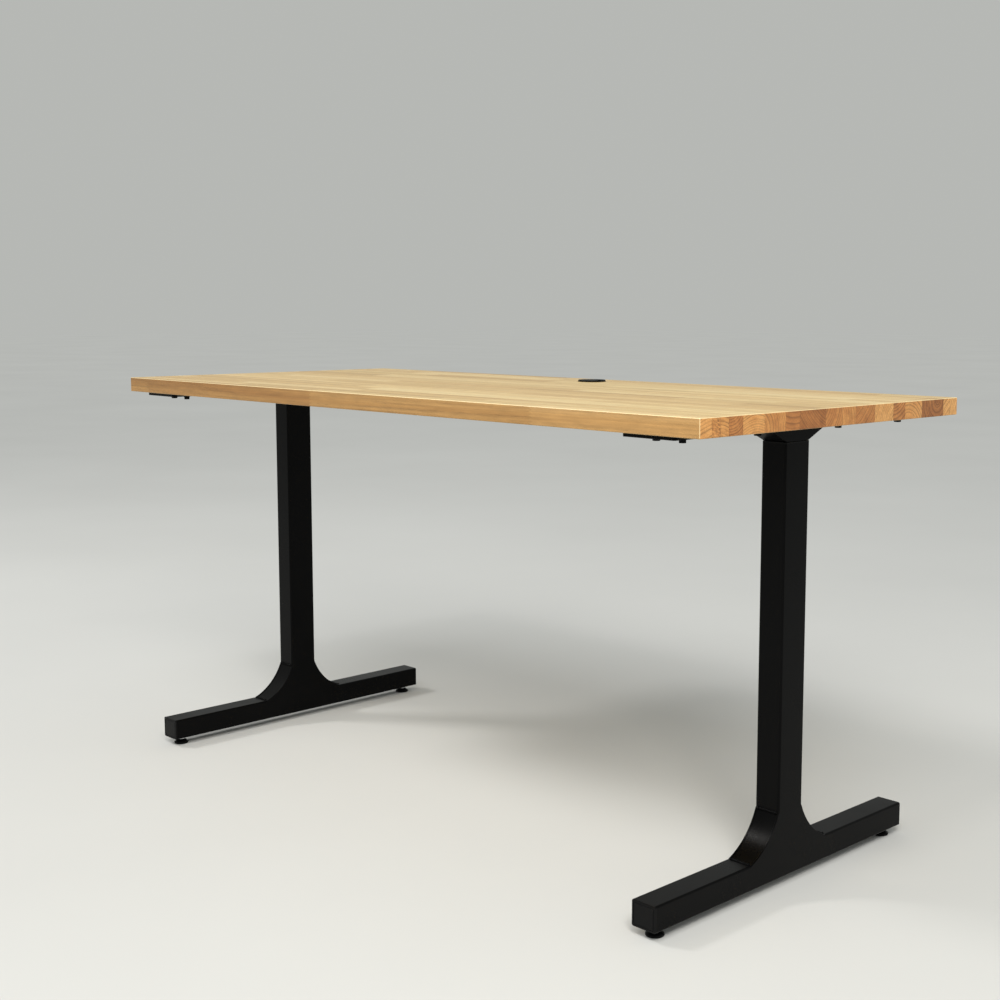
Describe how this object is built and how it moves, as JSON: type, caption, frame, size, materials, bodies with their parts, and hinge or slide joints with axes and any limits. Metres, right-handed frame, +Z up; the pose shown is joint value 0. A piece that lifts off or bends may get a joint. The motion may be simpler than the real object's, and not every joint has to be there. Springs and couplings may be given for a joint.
{
  "type": "height adjustable desk",
  "caption": "Desk with a laminated oak worktop on two telescopic steel columns, T-shaped feet with curved gussets, a rear cable grommet and screw levelling feet.",
  "frame": {"origin": "on the floor, under the middle of the worktop, with the columns lowered", "axes": "+X along the worktop to the right as a user faces the desk, +Y from the front edge to the back edge, +Z up"},
  "size_m": [1.5, 0.65, 0.7535],
  "materials": {
    "oak_board": "satin hardwax oil on laminated oak",
    "black_steel": "satin black powder coat",
    "inner_steel": "semi-gloss black paint",
    "black_plastic": "fine-textured matte",
    "black_bolts": "black oxide",
    "zinc_steel": "bright zinc plate",
    "spindle_steel": "rolled thread, lightly oiled",
    "brass_insert": "machined",
    "ivory_nylon": "natural nylon",
    "white_nylon": "natural nylon",
    "motor_case": "plated steel can",
    "circuit_board": "solder mask",
    "cable_jacket": "matte PVC",
    "key_plastic": "satin keys"
  },
  "bodies": {
    "left_base": {"left_foot_beam": "black_steel", "left_outer_column": "black_steel", "left_gussets": "black_steel", "left_foot_caps": "black_plastic", "left_base_plate": "zinc_steel", "left_push_tube": "zinc_steel", "left_lift_nut": "ivory_nylon", "left_guide_collar": "black_plastic", "left_leveller_nuts": "zinc_steel"},
    "upper": {"tabletop": "oak_board", "left_top_plate": "black_steel", "right_top_plate": "black_steel", "left_head_bracket": "black_steel", "right_head_bracket": "black_steel", "left_inner_column": "inner_steel", "right_inner_column": "inner_steel", "left_glide_shoe": "ivory_nylon", "right_glide_shoe": "ivory_nylon", "left_gear_motor": "motor_case", "right_gear_motor": "motor_case", "left_spindle_bearing": "zinc_steel", "right_spindle_bearing": "zinc_steel", "plate_bolts": "black_bolts", "plate_washers": "black_bolts", "threaded_inserts": "brass_insert", "grommet_sleeve": "black_plastic", "control_box_plate": "zinc_steel", "control_box_case": "black_plastic", "control_board": "circuit_board", "mains_inlet": "black_plastic", "handset_housing": "black_plastic", "handset_board": "circuit_board", "left_motor_cable": "cable_jacket", "right_motor_cable": "cable_jacket", "handset_cable": "cable_jacket", "cable_glands": "cable_jacket", "cable_clips": "white_nylon", "wood_screws": "zinc_steel"},
    "right_base": {"right_foot_beam": "black_steel", "right_outer_column": "black_steel", "right_gussets": "black_steel", "right_foot_caps": "black_plastic", "right_base_plate": "zinc_steel", "right_push_tube": "zinc_steel", "right_lift_nut": "ivory_nylon", "right_guide_collar": "black_plastic", "right_leveller_nuts": "zinc_steel"},
    "left_spindle": {"left_spindle": "spindle_steel"},
    "right_spindle": {"right_spindle": "spindle_steel"},
    "grommet_cap": {"grommet_cap": "black_plastic"},
    "up_button": {"up_button": "key_plastic"},
    "down_button": {"down_button": "key_plastic"},
    "left_front_pad": {"left_front_pad": "black_plastic"},
    "left_front_stem": {"left_front_stem": "zinc_steel"},
    "left_rear_pad": {"left_rear_pad": "black_plastic"},
    "left_rear_stem": {"left_rear_stem": "zinc_steel"},
    "right_front_pad": {"right_front_pad": "black_plastic"},
    "right_front_stem": {"right_front_stem": "zinc_steel"},
    "right_rear_pad": {"right_rear_pad": "black_plastic"},
    "right_rear_stem": {"right_rear_stem": "zinc_steel"}
  },
  "joints": [
    {"name": "left_lift", "type": "slide", "parent": "left_base", "child": "upper", "axis": [0, 0, 1], "range_m": [0, 0.43]},
    {"name": "right_lift", "type": "slide", "parent": "upper", "child": "right_base", "axis": [0, 0, -1], "range_m": [0, 0.43]},
    {"name": "left_spindle_turn", "type": "hinge", "parent": "upper", "child": "left_spindle", "pos_m": [-0.65, 0, 0.4], "axis": [0, 0, 1], "range_deg": [0, 25805]},
    {"name": "right_spindle_turn", "type": "hinge", "parent": "upper", "child": "right_spindle", "pos_m": [0.65, 0, 0.4], "axis": [0, 0, 1], "range_deg": [0, 25805]},
    {"name": "grommet_cap_lift", "type": "slide", "parent": "upper", "child": "grommet_cap", "axis": [0, 0, 1], "range_m": [0, 0.03]},
    {"name": "up_button_press", "type": "slide", "parent": "upper", "child": "up_button", "axis": [0, 1, 0], "range_m": [0, 0.0008], "stiffness_N_per_m": 1200, "springref_m": -0.0005},
    {"name": "down_button_press", "type": "slide", "parent": "upper", "child": "down_button", "axis": [0, 1, 0], "range_m": [0, 0.0008], "stiffness_N_per_m": 1200, "springref_m": -0.0005},
    {"name": "left_front_pad_slide", "type": "slide", "parent": "left_base", "child": "left_front_pad", "axis": [0, 0, -1], "range_m": [0, 0.01001]},
    {"name": "left_front_stem_turn", "type": "hinge", "parent": "left_front_pad", "child": "left_front_stem", "pos_m": [-0.65, -0.29, 0.02], "axis": [0, 0, 1], "range_deg": [0, 2880]},
    {"name": "left_rear_pad_slide", "type": "slide", "parent": "left_base", "child": "left_rear_pad", "axis": [0, 0, -1], "range_m": [0, 0.01001]},
    {"name": "left_rear_stem_turn", "type": "hinge", "parent": "left_rear_pad", "child": "left_rear_stem", "pos_m": [-0.65, 0.29, 0.02], "axis": [0, 0, 1], "range_deg": [0, 2880]},
    {"name": "right_front_pad_slide", "type": "slide", "parent": "right_base", "child": "right_front_pad", "axis": [0, 0, -1], "range_m": [0, 0.01001]},
    {"name": "right_front_stem_turn", "type": "hinge", "parent": "right_front_pad", "child": "right_front_stem", "pos_m": [0.65, -0.29, 0.02], "axis": [0, 0, 1], "range_deg": [0, 2880]},
    {"name": "right_rear_pad_slide", "type": "slide", "parent": "right_base", "child": "right_rear_pad", "axis": [0, 0, -1], "range_m": [0, 0.01001]},
    {"name": "right_rear_stem_turn", "type": "hinge", "parent": "right_rear_pad", "child": "right_rear_stem", "pos_m": [0.65, 0.29, 0.02], "axis": [0, 0, 1], "range_deg": [0, 2880]}
  ],
  "couplings": [
    {"joint": "right_lift", "follows": "left_lift", "ratio": 1},
    {"joint": "left_spindle_turn", "follows": "left_lift", "rad_per_m": 1047.2},
    {"joint": "right_spindle_turn", "follows": "left_lift", "rad_per_m": 1047.2},
    {"joint": "left_front_pad_slide", "follows": "left_front_stem_turn", "m_per_rad": 0.00019894},
    {"joint": "left_rear_pad_slide", "follows": "left_rear_stem_turn", "m_per_rad": 0.00019894},
    {"joint": "right_front_pad_slide", "follows": "right_front_stem_turn", "m_per_rad": 0.00019894},
    {"joint": "right_rear_pad_slide", "follows": "right_rear_stem_turn", "m_per_rad": 0.00019894}
  ]
}
